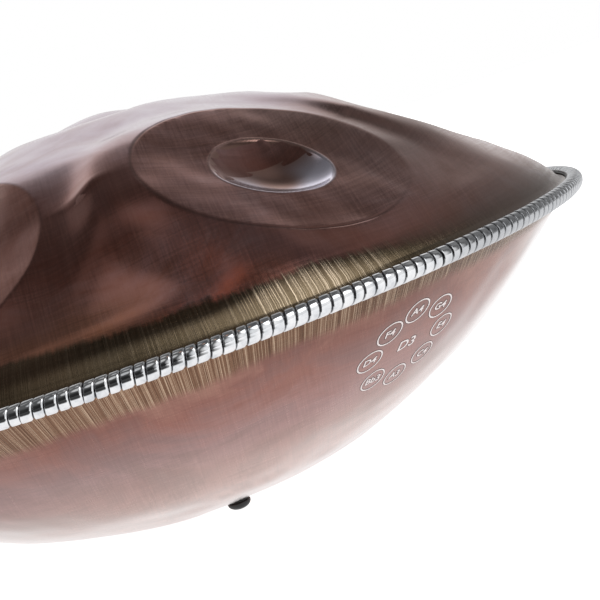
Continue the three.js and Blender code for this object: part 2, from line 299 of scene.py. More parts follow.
def crease_distance(x, y):
    """Distance in mm to the nearest edge of a flat, or outer ring of a dimple (below 0 inside it)."""
    nearest = np.full_like(x, 1e3)
    for field in FIELDS:
        _, _, reach = field_place(field, x, y)
        out = reach * field["radius"]
        ring = np.maximum(0.55 * field["dimple"] - out, out - field["dimple"])
        nearest = np.minimum(nearest, np.minimum(abs(out - field["radius"]), ring))
    return nearest


# The bend from the dome into the flange, round its edge and back under, as (radius, height).
RIM_BEND = [
    (250.7, 5.4), (251.5, 4.3), (252.3, 3.4), (253.1, 2.65), (254.0, 2.05), (255.2, 1.7), (256.6, 1.58),
    (257.6, FLANGE_HIGH), (260.2, FLANGE_HIGH), (FLANGE_RADIUS, FLANGE_HIGH - 0.25),
    (FLANGE_RADIUS, FLANGE_LOW + 0.25), (260.2, FLANGE_LOW), (255.6, FLANGE_LOW),
    (254.4, 0.7), (252.6, 1.75), (251.2, 2.9),
]
# The small ring that closes the shell at its middle, and how wide and how finely the creases are cut.
INNERMOST = 0.4
CREASE_BAND = 3.2
CREASE_CUTS = 3


def crown_underside(x, y):
    """Points one sheet thickness inside the top surface."""
    gx = crown_surface(x + 0.5, y) - crown_surface(x - 0.5, y)
    gy = crown_surface(x, y + 0.5) - crown_surface(x, y - 0.5)
    length = np.sqrt(gx * gx + gy * gy + 1)
    z = crown_surface(x, y) + crown_ripple(x, y) - SHELL_THICK / length
    return np.stack([x - gx / length * SHELL_THICK, y - gy / length * SHELL_THICK, z], -1)


def refine_creases(mesh, top_count):
    """Cuts finer faces along the edges of the flats and dimples; says which points are on the top."""
    bm = bmesh.new()
    bm.from_mesh(mesh)
    is_top = bm.verts.layers.float.new("is_top")
    bm.verts.ensure_lookup_table()
    for vertex in bm.verts[:top_count]:
        vertex[is_top] = 1.0
    spots = np.array([v.co[:2] for v in bm.verts])
    near = crease_distance(spots[:, 0], spots[:, 1]) < CREASE_BAND
    near &= np.arange(len(spots)) < top_count
    edges = [e for e in bm.edges if near[e.verts[0].index] and near[e.verts[1].index]]
    bmesh.ops.subdivide_edges(bm, edges=edges, cuts=CREASE_CUTS, use_grid_fill=True)
    bm.to_mesh(mesh)
    on_top = np.array([v[is_top] for v in bm.verts]) > 0.5
    bm.free()
    return on_top


def shape_crown(obj, on_top):
    """Puts every top point at its height, and stores the masks that the steel's material reads."""
    points = np.empty(len(obj.data.vertices) * 3)
    obj.data.vertices.foreach_get("co", points)
    points = points.reshape(-1, 3)
    x, y = points[on_top, 0], points[on_top, 1]
    points[on_top, 2] = crown_surface(x, y) + crown_ripple(x, y)
    points = points * MM + np.array([0, 0, RIM_Z])
    obj.data.vertices.foreach_set("co", points.ravel())
    obj.data.polygons.foreach_set("use_smooth", [True] * len(obj.data.polygons))
    obj.data.update()
    flat, dimple = crown_masks(x, y)
    groove, lip = crease_masks(x, y)
    masks = {"field": flat, "dimple": dimple, "groove": groove, "lip": lip}
    # Mask for the painted highlight in each dimple's outer ring.
    masks["dimple_highlight"] = dimple_highlight(x, y)
    for name, mask in masks.items():
        values = np.zeros(len(points))
        values[on_top] = mask
        attribute(obj, name, values)


def build_upper_shell(sectors=540, rings=132, under_rings=44):
    angle = np.linspace(0, 2 * np.pi, sectors, endpoint=False)

    def places(radii):
        r, a = np.meshgrid(radii, angle, indexing="ij")
        return r * np.cos(a), r * np.sin(a)

    x, y = places(np.linspace(INNERMOST, DOME_EDGE, rings))
    top = np.stack([x, y, 0 * x], -1)
    under = crown_underside(*places(np.linspace(DOME_EDGE - 0.5, INNERMOST, under_rings)))
    bend = [np.stack([r * np.cos(angle), r * np.sin(angle), np.full(sectors, z)], -1) for r, z in RIM_BEND]
    rows = np.concatenate([top, np.array(bend), under])
    faces = grid_faces(len(rows), sectors)
    faces += [list(range(sectors))[::-1], [(len(rows) - 1) * sectors + k for k in range(sectors)]]
    faces = [face[::-1] for face in faces]
    obj = new_object("upper_shell_looks", rows.reshape(-1, 3), faces)
    on_top = refine_creases(obj.data, rings * sectors)
    shape_crown(obj, on_top)
    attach(obj, "root")
    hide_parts("upper_shell")
    return obj


# ---- lower shell ----
def bowl_depth(radius):
    return BOWL_DEPTH * np.clip(1 - (radius / BOWL_RADIUS) ** BOWL_POWER_R, 0, None) ** (1 / BOWL_POWER_Z)


def bowl_outside(radius):
    radius = np.asarray(radius, float)
    start = float(bowl_depth(FLAT_START - 0.5) - bowl_depth(FLAT_START + 0.5))
    width = FLAT_START - FLAT_END
    t = np.clip((FLAT_START - radius) / width, 0, 1)
    near = -bowl_depth(FLAT_START) - start * width * (t - t * t / 2)
    return np.where(radius >= FLAT_START, -bowl_depth(radius), near)


BOWL_BOTTOM = float(bowl_outside(FLAT_END))


def bowl_arc(radius, edge, lift):
    """Quarter circle from the port's neck at radius edge out to the bowl's flat bottom."""
    a = np.linspace(0, np.pi / 2, 9)
    return list(zip(edge + radius * (1 - np.cos(a)), BOWL_BOTTOM + lift + radius * (1 - np.sin(a))))


def bowl_outline():
    """Outline of the sheet: down the neck, out along the outside, round the flange and back inside."""
    flat = np.linspace(PORT_RADIUS + PORT_ROUND + 3, FLAT_START, 12)
    radii = np.concatenate([flat, np.linspace(FLAT_START + 3, 251, 74)])
    outside = [(PORT_RADIUS, BOWL_BOTTOM + PORT_NECK - 0.3), (PORT_RADIUS, BOWL_BOTTOM + 20)]
    outside += bowl_arc(PORT_ROUND, PORT_RADIUS, 0)
    outside += list(zip(radii, bowl_outside(radii)))
    outside += [(252.4, -3.75), (253.6, -2.65), (254.6, -1.9), (255.8, -FLANGE_HIGH),
                (260.2, -FLANGE_HIGH), (FLANGE_RADIUS, -FLANGE_HIGH + 0.25)]
    inside = [(FLANGE_RADIUS, -FLANGE_LOW - 0.25), (260.2, -FLANGE_LOW), (255, -FLANGE_LOW), (253.2, -1.7)]
    back = radii[::-2]
    slope = bowl_outside(back + 0.5) - bowl_outside(back - 0.5)
    shift = SHELL_THICK / np.hypot(1, slope)
    inside += list(zip(back - slope * shift, bowl_outside(back) + shift))
    inside += bowl_arc(PORT_ROUND - SHELL_THICK, PORT_RADIUS + SHELL_THICK, SHELL_THICK)[::-1]
    lip = BOWL_BOTTOM + PORT_NECK
    inside += [(PORT_RADIUS + SHELL_THICK, lip - 0.3), (PORT_RADIUS + 0.7, lip), (PORT_RADIUS + 0.3, lip)]
    return np.array(outside + inside)


def bowl_ripple(x, y, radius):
    fade = smoothstep(62, 80, radius) * (1 - smoothstep(228, 249, radius))
    return hammering(x, y, BOWL_WAVES) * fade


def build_lower_shell(sectors=480):
    outline = bowl_outline()
    angle = np.linspace(0, 2 * np.pi, sectors, endpoint=False)
    r = np.repeat(outline[:, :1], sectors, 1)
    x, y = r * np.cos(angle), r * np.sin(angle)
    z = outline[:, 1:] + bowl_ripple(x, y, r)
    points = np.stack([x, y, z], -1).reshape(-1, 3) * MM + np.array([0, 0, RIM_Z])
    obj = new_object("lower_shell_looks", points, grid_faces(len(outline), sectors, wrap_rows=True))
    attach(obj, "root")
    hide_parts("lower_shell")
    return obj


def bowl_point(arc_out, across, centre_radius, centre_angle, lift):
    """Place on the bowl: arc_out mm towards the rim and across mm round it from a centre point."""
    radii = np.linspace(100, 251, 1500)
    run = np.concatenate([[0], np.cumsum(np.hypot(np.diff(radii), np.diff(bowl_outside(radii))))])
    middle = np.interp(centre_radius, radii, run)
    r = np.interp(middle + arc_out, run, radii)
    a = centre_angle + across / ((r + centre_radius) / 2)
    slope = bowl_outside(r + 0.5) - bowl_outside(r - 0.5)
    length = np.hypot(1, slope)
    wave = bowl_ripple(r * np.cos(a), r * np.sin(a), r)
    out = r + slope / length * lift
    return np.stack([out * np.cos(a), out * np.sin(a), bowl_outside(r) + wave - lift / length], -1)


# ---- rim ----
def build_liner():
    low, high = FLANGE_HIGH + 0.3, FLANGE_HIGH + 1.2
    web, back = FLANGE_RADIUS + 0.3, FLANGE_RADIUS + 1.2
    lip = 255.8
    outline = [
        (lip + 0.2, -high), (back - 0.3, -high), (back, -high + 0.3), (back, high - 0.3),
        (back - 0.3, high), (lip + 0.3, high), (lip, high - 0.25), (lip, low + 0.2), (lip + 0.2, low),
        (web, low), (web, -low), (lip + 0.2, -low), (lip, -low - 0.2), (lip, -high + 0.25),
    ]
    obj = revolve("rim_liner_looks", outline)
    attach(obj, "root")
    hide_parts("rim_liner")
    return obj


# One turn of the wound strip, from groove to groove: place in the turn and height over the tube.
TURN_SHAPE = [
    (0.0, -0.7), (0.03, -0.7), (0.04, 0.02), (0.07, 0.10), (0.11, 0.13), (0.40, 0.16), (0.72, 0.13),
    (0.75, 0.10), (0.91, -0.18), (0.92, -0.7),
]
TRIM_TURNS = 288
JOINT_HALF_GAP = 0.25
# How unlike the turns are: every second one starts late by a share of a turn, and each has a random
# swell in mm and a random lean as a share of a turn.
TURN_LATE = 0.08
TURN_SWELL = 0.06
TURN_LEAN = 0.05
# The tube that the heights stand on lies this far inside the trim's radius; lower heights are groove.
STRIP_DEPTH = 0.25
GROOVE_BELOW = -0.5


def trim_strip():
    """Places along the wound strip in turns, and for each its height, swell and lean."""
    starts = [t + TURN_LATE * (t % 2) for t in range(TRIM_TURNS)] + [TRIM_TURNS]
    places = [a + s * (b - a) for a, b in zip(starts, starts[1:]) for s, _ in TURN_SHAPE]
    places = np.array(places + [TRIM_TURNS])
    heights = np.array([h for _ in range(TRIM_TURNS) for _, h in TURN_SHAPE] + [TURN_SHAPE[0][1]])
    draw = np.random.RandomState(21)
    swell = draw.uniform(-TURN_SWELL, TURN_SWELL, TRIM_TURNS + 1)
    lean = draw.uniform(-TURN_LEAN, TURN_LEAN, TRIM_TURNS + 1)
    swell, lean = (np.repeat(v, len(TURN_SHAPE))[: len(places)] for v in (swell, lean))
    return places, heights, swell, lean


def build_trim(around=25):
    mouth = math.pi - math.asin(TRIM_MOUTH / TRIM_TUBE)
    v = np.linspace(-mouth, mouth, around)
    gap = JOINT_HALF_GAP / TRIM_CENTRE
    sweep = 2 * math.pi - 2 * gap
    places, heights, swell, lean = trim_strip()
    # the slant of the turns fades out over the last two at each side of the joint
    edge_fade = np.minimum(1, np.minimum(places, TRIM_TURNS - places) / 2)
    helix = (v[None, :] / (2 * np.pi)) * edge_fade[:, None] + lean[:, None] * np.sin(v)[None, :]
    turn = np.clip(places[:, None] + helix, 0, TRIM_TURNS)
    angle = TRIM_JOINT + gap + sweep * turn / TRIM_TURNS
    raised = heights + np.where(heights > GROOVE_BELOW, swell, 0)
    tube = TRIM_TUBE - STRIP_DEPTH + raised[:, None] + 0 * v
    r = TRIM_CENTRE + tube * np.cos(v)
    z = tube * np.sin(v)
    outer = np.stack([r * np.cos(angle), r * np.sin(angle), z], -1)
    inner_end = math.pi - math.asin(TRIM_MOUTH / TRIM_BORE)
    w = np.linspace(inner_end, -inner_end, 9)
    bore_r = TRIM_CENTRE + TRIM_BORE * np.cos(w)
    bore_z = np.repeat(TRIM_BORE * np.sin(w)[None], len(places), 0)
    middle = angle[:, [around // 2]]
    inner = np.stack([bore_r * np.cos(middle), bore_r * np.sin(middle), bore_z], -1)
    rows = np.concatenate([outer, inner], 1)
    count = rows.shape[1]
    points = rows.reshape(-1, 3) * MM + np.array([0, 0, RIM_Z])
    faces = grid_faces(len(places), count)
    faces += [list(range(count)), [(len(places) - 1) * count + k for k in range(count)][::-1]]
    obj = new_object("rim_trim_looks", points, faces)
    groove = np.repeat((heights < GROOVE_BELOW).astype(float)[:, None], count, 1)
    attribute(obj, "groove", groove.ravel())
    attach(obj, "root")
    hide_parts("rim_trim")
    return obj


# ---- feet ----
def build_foot(number, sectors=48):
    """A squashed dome with a small flat to stand on and a short straight skirt at its top."""
    low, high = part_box(f"foot_{number}")
    top = high[2] - low[2]
    radius = (high[1] - low[1]) / 2
    hub = 0.2 * MM
    flat = FOOT_FLAT * MM
    skirt = FOOT_SKIRT * MM
    a = np.linspace(math.asin(flat / radius), math.pi / 2, 12)
    scale = (top - skirt) / math.cos(a[0])
    profile = [(hub, 0.0), (flat * 0.6, 0.0)]
    profile += [(radius * math.sin(t), top - skirt - scale * math.cos(t)) for t in a]
    profile += [(radius, top - skirt * 0.4), (radius - 0.25 * MM, top - 0.1 * MM)]
    profile += [(radius - 0.8 * MM, top), (hub, top)]
    profile = np.array(profile)
    t = np.linspace(0, 2 * np.pi, sectors, endpoint=False)
    centre = (low + high) / 2
    points = np.stack([
        centre[0] + profile[:, :1] * np.cos(t),
        centre[1] + profile[:, :1] * np.sin(t),
        low[2] + np.repeat(profile[:, 1:], sectors, 1)], -1)
    faces = grid_faces(len(profile), sectors)
    faces += [list(range(sectors)), [(len(profile) - 1) * sectors + k for k in range(sectors)][::-1]]
    faces = [face[::-1] for face in faces]
    obj = new_object(f"foot_{number}_looks", points.reshape(-1, 3), faces)
    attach(obj, "root")
    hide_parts(f"foot_{number}")
    return obj


# ---- etched note names on the bowl ----
MARK_RADIUS = 213.6
MARK_ANGLE = math.radians(-58.8)
MARK_RING = 24.7
MARK_CIRCLE = 7.3
CIRCLE_LINE = 0.85
NOTE_SIZE = 6.6
NOTE_BOLD = 0.15
MAIN_SIZE = 10.0
MAIN_BOLD = 0.14
MARK_LIFT = 0.09
OUTLINE_WIDTH = 0.28
OUTLINE_LIFT = 0.05
# The notes round the ring, by angle in degrees, and the note in its middle.
NOTES = {96: "A4", 51: "G4", 6: "E4", -39: "C4", -84: "A3", -129: "Bb3", 179: "D4", 136: "F4"}
MAIN_NOTE = "D3"


def letters(text, size, offset):
    """Flat faces of a line of type, its strokes made bolder by the offset."""
    curve = bpy.data.curves.new("letters", "FONT")
    curve.body = text
    curve.size = size
    curve.align_x = "CENTER"
    curve.align_y = "CENTER"
    curve.offset = offset
    curve.resolution_u = 3
    holder = bpy.data.objects.new("letters", curve)
    bpy.context.scene.collection.objects.link(holder)
    bpy.context.view_layer.update()
    mesh = bpy.data.meshes.new_from_object(holder.evaluated_get(bpy.context.evaluated_depsgraph_get()))
    points = np.array([v.co[:] for v in mesh.vertices])
    faces = [list(p.vertices) for p in mesh.polygons]
    bpy.data.objects.remove(holder)
    return points[:, :2], faces


def circle_band(radius, width, steps=64):
    t = np.linspace(0, 2 * np.pi, steps, endpoint=False)
    circle = np.stack([np.cos(t), np.sin(t)], -1)
    rings = [(radius + width / 2) * circle, (radius - width / 2) * circle]
    return np.concatenate(rings), grid_faces(2, steps)


def build_marks(name, fatten, lift):
    """A ring of circled notes round the middle one, all laid on the bowl."""
    points, faces = [], []

    def put(flat, polygons, across, out):
        start = sum(len(p) for p in points)
        points.append(bowl_point(flat[:, 1] + out, flat[:, 0] + across, MARK_RADIUS, MARK_ANGLE, lift))
        faces.extend([[k + start for k in polygon] for polygon in polygons])

    for degrees, note in NOTES.items():
        across = MARK_RING * math.cos(math.radians(degrees))
        out = MARK_RING * math.sin(math.radians(degrees))
        put(*circle_band(MARK_CIRCLE, CIRCLE_LINE + 2 * fatten), across, out)
        put(*letters(note, NOTE_SIZE, NOTE_BOLD + fatten), across, out)
    put(*letters(MAIN_NOTE, MAIN_SIZE, MAIN_BOLD + fatten), 0, 0)
    obj = new_object(name, np.concatenate(points) * MM + np.array([0, 0, RIM_Z]), faces, smooth=False)
    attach(obj, "root")
    return obj


# ---- materials ----
class Nodes:
    """Small helper that adds and links shader nodes."""

    def __init__(self, name, tree=None):
        if tree is None:
            self.material = bpy.data.materials.new(name)
            self.material.use_nodes = True
            tree = self.material.node_tree
        self.tree = tree
        self.tree.nodes.clear()
        if name:
            self.shader = self.add("ShaderNodeBsdfPrincipled")
            out = self.add("ShaderNodeOutputMaterial")
            self.tree.links.new(self.shader.outputs[0], out.inputs[0])

    def add(self, kind, **settings):
        node = self.tree.nodes.new(kind)
        for key, value in settings.items():
            setattr(node, key, value)
        return node

    def set(self, socket, value):
        if isinstance(value, bpy.types.NodeSocket):
            self.tree.links.new(value, socket)
        elif value is not None:
            socket.default_value = value

    def math(self, operation, a, b=None, c=None):
        node = self.add("ShaderNodeMath", operation=operation)
        for socket, value in zip(node.inputs, (a, b, c)):
            self.set(socket, value)
        return node.outputs[0]

    def vector(self, x, y, z):
        node = self.add("ShaderNodeCombineXYZ")
        for socket, value in zip(node.inputs, (x, y, z)):
            self.set(socket, value)
        return node.outputs[0]

    def noise(self, vector, scale, detail=3.0, rough=0.55, distortion=0.0):
        node = self.add("ShaderNodeTexNoise")
        self.set(node.inputs["Vector"], vector)
        self.set(node.inputs["Scale"], scale)
        self.set(node.inputs["Detail"], detail)
        self.set(node.inputs["Roughness"], rough)
        self.set(node.inputs["Distortion"], distortion)
        return node.outputs["Fac"]

    def span(self, value, low, high, to_low=0.0, to_high=1.0, smooth=True):
        node = self.add("ShaderNodeMapRange")
        node.interpolation_type = "SMOOTHSTEP" if smooth else "LINEAR"
        for key, number in (("From Min", low), ("From Max", high), ("To Min", to_low), ("To Max", to_high)):
            self.set(node.inputs[key], number)
        self.set(node.inputs["Value"], value)
        return node.outputs[0]

    def ramp(self, value, stops):
        node = self.add("ShaderNodeValToRGB")
        elements = node.color_ramp.elements
        while len(elements) < len(stops):
            elements.new(0.5)
        for element, (place, colour) in zip(elements, stops):
            element.position = place
            element.color = (*colour, 1)
        self.set(node.inputs[0], value)
        return node.outputs[0]

    def mix(self, factor, a, b, blend="MIX"):
        node = self.add("ShaderNodeMix", data_type="RGBA", blend_type=blend)
        self.set(node.inputs[0], factor)
        for socket, value in ((node.inputs[6], a), (node.inputs[7], b)):
            self.set(socket, (*value, 1) if isinstance(value, tuple) else value)
        return node.outputs[2]

    def bump(self, height, strength, distance):
        node = self.add("ShaderNodeBump")
        self.set(node.inputs["Height"], height)
        node.inputs["Strength"].default_value = strength
        node.inputs["Distance"].default_value = distance
        self.tree.links.new(node.outputs[0], self.shader.inputs["Normal"])

    def attribute(self, name):
        return self.add("ShaderNodeAttribute", attribute_name=name).outputs["Fac"]

    def where(self):
        return self.add("ShaderNodeTexCoord").outputs["Object"]

    def split(self, vector):
        node = self.add("ShaderNodeSeparateXYZ")
        self.set(node.inputs[0], vector)
        return node.outputs

    def length(self, x, y):
        squares = self.math("ADD", self.math("MULTIPLY", x, x), self.math("MULTIPLY", y, y))
        return self.math("SQRT", squares)

    def place(self):
        """Position, radius from the axis in metres, and the direction round it as two parts, cx and cy.

        Seen from the photo's side, cx runs from -1 at the left to 1 at the right, and cy is -1 in front.
        """
        where = self.where()
        x, y, _ = self.split(where)
        radius = self.length(x, y)
        safe = self.math("MAXIMUM", radius, 0.001)
        return where, radius, self.math("DIVIDE", x, safe), self.math("DIVIDE", y, safe)

    def streaks(self, radius, cx, cy, fine, long_scale, detail):
        """Noise drawn out in streaks: fine is its scale round the axis, long_scale along the radius."""
        x, y = self.math("MULTIPLY", cx, fine), self.math("MULTIPLY", cy, fine)
        vector = self.vector(x, y, self.math("MULTIPLY", radius, long_scale))
        return self.noise(vector, 1.0, detail, 0.6)

    def finish(self, **values):
        for key, value in values.items():
            self.set(self.shader.inputs[key.replace("_", " ")], value)
        return self.material


# Streaks of noise: scale round the axis, scale along the radius and detail.
FINE_STREAKS = (900.0, 14.0, 3.0)
COARSE_STREAKS = (130.0, 5.0, 2.0)
ROUND_STREAKS = (4.0, 1100.0, 2.0)
SLANT_ANGLE = 0.6
SLANT_SCALE = (1100.0, 22.0, 40.0)


def brushing(n, where, radius, cx, cy):
    """Scratches: fine ones along the radius, and a faint mesh round the axis and slanting across."""
    fine = n.streaks(radius, cx, cy, *FINE_STREAKS)
    coarse = n.streaks(radius, cx, cy, *COARSE_STREAKS)
    around = n.streaks(radius, cx, cy, *ROUND_STREAKS)
    turned = n.add("ShaderNodeMapping")
    turned.inputs["Rotation"].default_value = (0, 0, SLANT_ANGLE)
    turned.inputs["Scale"].default_value = SLANT_SCALE
    n.set(turned.inputs["Vector"], where)
    slant = n.noise(turned.outputs[0], 1.0, 2.0, 0.6)
    mesh = n.math("MULTIPLY_ADD", slant, 0.5, n.math("MULTIPLY", around, 0.5))
    return fine, coarse, mesh


def heat_cloud(n, where):
    """Soft patches of heat tint, from 0 to 1."""
    cloud = n.noise(where, 12.0, 5.0, 0.66, 1.2)
    blotch = n.noise(where, 26.0, 4.0, 0.6, 0.4)
    patches = n.math("MULTIPLY_ADD", cloud, 0.75, n.math("MULTIPLY", blotch, 0.25))
    return n.span(patches, 0.35, 0.65, smooth=False)


def near_rim(n, radius, cx, cloud, coarse, start, end):
    """0 on the tinted steel, 1 on the scratched band at the rim; its ragged edge is wider on one side."""
    ragged = n.math("MULTIPLY_ADD", cx, -0.0075, radius)
    ragged = n.math("MULTIPLY_ADD", n.math("SUBTRACT", coarse, 0.5), 0.003, ragged)
    ragged = n.math("MULTIPLY_ADD", n.math("SUBTRACT", cloud, 0.5), 0.0035, ragged)
    return n.span(ragged, start, end)


SCRATCH_TINT = (0.78, 0.64, 0.48)


def brushed_finish(n, colour, band, fine, mesh, scratches, roughness, mesh_contrast, dimple=None):
    """Steel of the given colour with its scratches, stronger on the band and fainter in a dimple."""
    scratch = n.span(fine, 0.54, 0.62)
    strength = n.math("MULTIPLY", scratch, n.math("MULTIPLY_ADD", band, scratches, 0.03))
    colour = n.mix(strength, colour, SCRATCH_TINT)
    if dimple is not None:
        mesh = n.math("MULTIPLY_ADD", n.math("SUBTRACT", mesh, 0.5), n.math("SUBTRACT", 1.0, dimple), 0.5)
    tone = n.span(mesh, 0.36, 0.64, 1 - mesh_contrast, 1 + mesh_contrast, smooth=False)
    colour = n.mix(1.0, colour, n.vector(tone, tone, tone), "MULTIPLY")
    rough = n.span(mesh, 0.35, 0.65, roughness - 0.04, roughness + 0.06, smooth=False)
    rough = n.math("MULTIPLY_ADD", band, 0.04, rough)
    if dimple is not None:
        rough = n.math("MULTIPLY", rough, n.span(dimple, 0, 1, 1.0, 0.75, smooth=False))
    height = n.math("MULTIPLY", fine, n.span(band, 0, 1, 0.1, 2.0, smooth=False))
    n.bump(n.math("MULTIPLY_ADD", mesh, 0.5, height), 0.4, 0.00012)
    return n.finish(Base_Color=colour, Metallic=1.0, Roughness=rough, Anisotropic=0.3)


# Heat tints of the upper shell from dark patches to light ones, on its flank and on its crown.
FLANK_TINTS = [
    (0.0, (0.28, 0.10, 0.07)), (0.35, (0.36, 0.165, 0.135)),
    (0.65, (0.40, 0.20, 0.18)), (1.0, (0.46, 0.28, 0.27)),
]
CROWN_TINTS = [(0.0, (0.36, 0.25, 0.27)), (0.5, (0.44, 0.35, 0.40)), (1.0, (0.51, 0.44, 0.50))]
# Painted shade: the knee between the flats is painted darker, standing in for the dark that its steep slope
# mirrors.
KNEE_SHADE_TINT = (0.16, 0.06, 0.045)
# Painted highlight: the left flat is painted paler, standing in for the brighter light it mirrors.
LEFT_FLAT_HIGHLIGHT_TINT = (0.66, 0.42, 0.37)
RIGHT_TINT = (0.27, 0.185, 0.16)
# Painted warm glow: the flank just above the band on the left is painted reddish copper, standing in for
# warm light it mirrors.
WARM_GLOW_TINT = (0.48, 0.20, 0.10)


# Where the tints fade in or out, by radius in metres: the painted shade on the knee, the painted warm glow
# above the band and the crown's tint.
KNEE_START = (0.150, 0.168)
KNEE_END = (0.215, 0.195)
WARM_GLOW_START = (0.214, 0.238)
CROWN_START = (0.170, 0.105)


def dome_colour(n, cloud, radius, cx):
    """Coppery flank and greyer crown, with painted shade on the knee between the flats, a painted highlight
    on the left flat and a painted warm glow above the band on the left.
    """
    flat = n.attribute("field")
    off_flat = n.math("SUBTRACT", 1.0, flat)
    # Painted shade on the knee between the flats.
    knee = n.math("MULTIPLY", n.span(radius, *KNEE_START), n.span(radius, *KNEE_END))
    knee = n.math("MULTIPLY", knee, off_flat)
    flank = n.mix(n.math("MULTIPLY", knee, 0.60), n.ramp(cloud, FLANK_TINTS), KNEE_SHADE_TINT)
    # Painted highlight on the left flat, where the steel mirrors brighter light.
    paler = n.math("MULTIPLY", flat, n.span(cx, -0.35, -0.50, 0.10, 1.0))
    flank = n.mix(paler, flank, LEFT_FLAT_HIGHLIGHT_TINT)
    flank = n.mix(n.span(cx, 0.40, 0.80, 0.0, 0.45), flank, RIGHT_TINT)
    # Painted warm glow above the band on the left side.
    warm_glow = n.math("MULTIPLY", n.span(radius, *WARM_GLOW_START), n.span(cx, 0.10, -0.15))
    flank = n.mix(n.math("MULTIPLY", warm_glow, 0.6), flank, WARM_GLOW_TINT)
    crown = n.math("MULTIPLY", n.span(radius, *CROWN_START), off_flat)
    return n.mix(crown, flank, n.ramp(cloud, CROWN_TINTS))


# The scratched band round the upper shell: its streaks, and its tint away from the stretch where its
# scratches carry a painted glint.
BAND_TINTS = [(0.0, (0.055, 0.038, 0.023)), (0.5, (0.085, 0.061, 0.040)), (1.0, (0.13, 0.097, 0.064))]
CALM_FRONT_TINT = (0.068, 0.048, 0.031)
# Painted warm glow: on the left the band's calm tint turns reddish brown, standing in for warm light it
# mirrors.
CALM_LEFT_GLOW_TINT = (0.135, 0.082, 0.052)
BAND_EDGE_TINT = (0.26, 0.20, 0.12)
BAND_RIGHT_TINT = (0.22, 0.20, 0.19)
# Where the band starts and where it takes its edge tint, by radius in metres; the stretch where its
# scratches carry a painted glint, by cx.
BAND_START = (0.2390, 0.2422)
BAND_EDGE_START = (0.2435, 0.2510)
SCRATCH_GLINT_START = (0.10, 0.24)
SCRATCH_GLINT_END = (0.54, 0.32)


def band_colour(n, fine, radius, cx, scratch_glint):
    olive = n.ramp(n.span(fine, 0.3, 0.7, smooth=False), BAND_TINTS)
    # Dark calm patina at the front; on the left it becomes a painted warm glow.
    calm = n.mix(n.span(cx, -0.08, -0.24), CALM_FRONT_TINT, CALM_LEFT_GLOW_TINT)
    # Outside the glint stretch the band takes its dark calm tint. Inside it, the band keeps its bright
    # olive scratches: real scratches with a painted glint.
    olive = n.mix(n.span(scratch_glint, 0, 1, 0.65, 0.0), olive, calm)
    olive = n.mix(n.span(radius, *BAND_EDGE_START, 0.0, 0.45), olive, BAND_EDGE_TINT)
    return n.mix(n.span(cx, 0.45, 0.80, 0.0, 0.7), olive, BAND_RIGHT_TINT)


# Tints of the small shapes: mask, strength and colour, in the order in which they cover one another.
DETAIL_TINTS = [
    ("dimple", 0.6, (0.36, 0.23, 0.19)),
    # Painted highlight: the outer ring of each dimple on the rim's side is painted near white, standing in
    # for the bright reflection there.
    ("dimple_highlight", 0.95, (0.80, 0.77, 0.90)),
    # Painted shade: the groove round each flat is painted dark, standing in for the shade in it.
    ("groove", 0.5, (0.08, 0.04, 0.03)),
    # Painted highlight: the lip round each dimple is painted lighter, standing in for the light it catches.
    ("lip", 0.35, (0.66, 0.50, 0.46)),
]


def upper_steel():
    n = Nodes("steel_upper_looks")
    where, radius, cx, cy = n.place()
    fine, coarse, mesh = brushing(n, where, radius, cx, cy)
    cloud = heat_cloud(n, where)
    # Painted glint: the stretch of the band where its real scratches are painted bright, as if catching the
    # light.
    scratch_glint = n.math("MULTIPLY", n.span(cx, *SCRATCH_GLINT_START), n.span(cx, *SCRATCH_GLINT_END))
    soft = n.span(cx, 0.35, 0.75, 0.0, 0.012)
    start = n.math("SUBTRACT", BAND_START[0], soft)
    end = n.math("ADD", BAND_START[1], soft)
    band = near_rim(n, radius, cx, cloud, coarse, start, end)
    colour = n.mix(band, dome_colour(n, cloud, radius, cx), band_colour(n, fine, radius, cx, scratch_glint))
    for mask, strength, tint in DETAIL_TINTS:
        colour = n.mix(n.math("MULTIPLY", n.attribute(mask), strength), colour, tint)
    # The scratches are painted brighter in the glint stretch, which makes a painted glint.
    scratches = n.span(scratch_glint, 0, 1, 0.06, 0.75, smooth=False)
    return brushed_finish(n, colour, band, fine, mesh, scratches,
                          roughness=0.18, mesh_contrast=0.10, dimple=n.attribute("dimple"))


# Tints of the lower shell from its bottom up to its rim, and of the scratched band at its rim.
BOWL_TINTS = [
    (0.0, (0.57, 0.41, 0.375)), (0.20, (0.47, 0.33, 0.30)), (0.38, (0.40, 0.255, 0.23)),
    (0.58, (0.33, 0.205, 0.195)), (0.72, (0.29, 0.16, 0.145)), (0.86, (0.24, 0.11, 0.09)),
    (1.0, (0.27, 0.14, 0.11)),
]
BOWL_BAND_TINTS = [(0.0, (0.08, 0.040, 0.024)), (0.5, (0.20, 0.108, 0.066)), (1.0, (0.36, 0.215, 0.14))]
BOWL_BAND_RIGHT_TINT = (0.06, 0.035, 0.025)
# Painted sheen: the lower shell turns near white where it is seen edge-on, standing in for bright
# reflection at grazing angles.
GRAZING_SHEEN_TINT = (0.97, 0.95, 0.95)
BOWL_TINT_RADII = (0.140, 0.250)
BOWL_BAND_START = (0.2370, 0.2430)


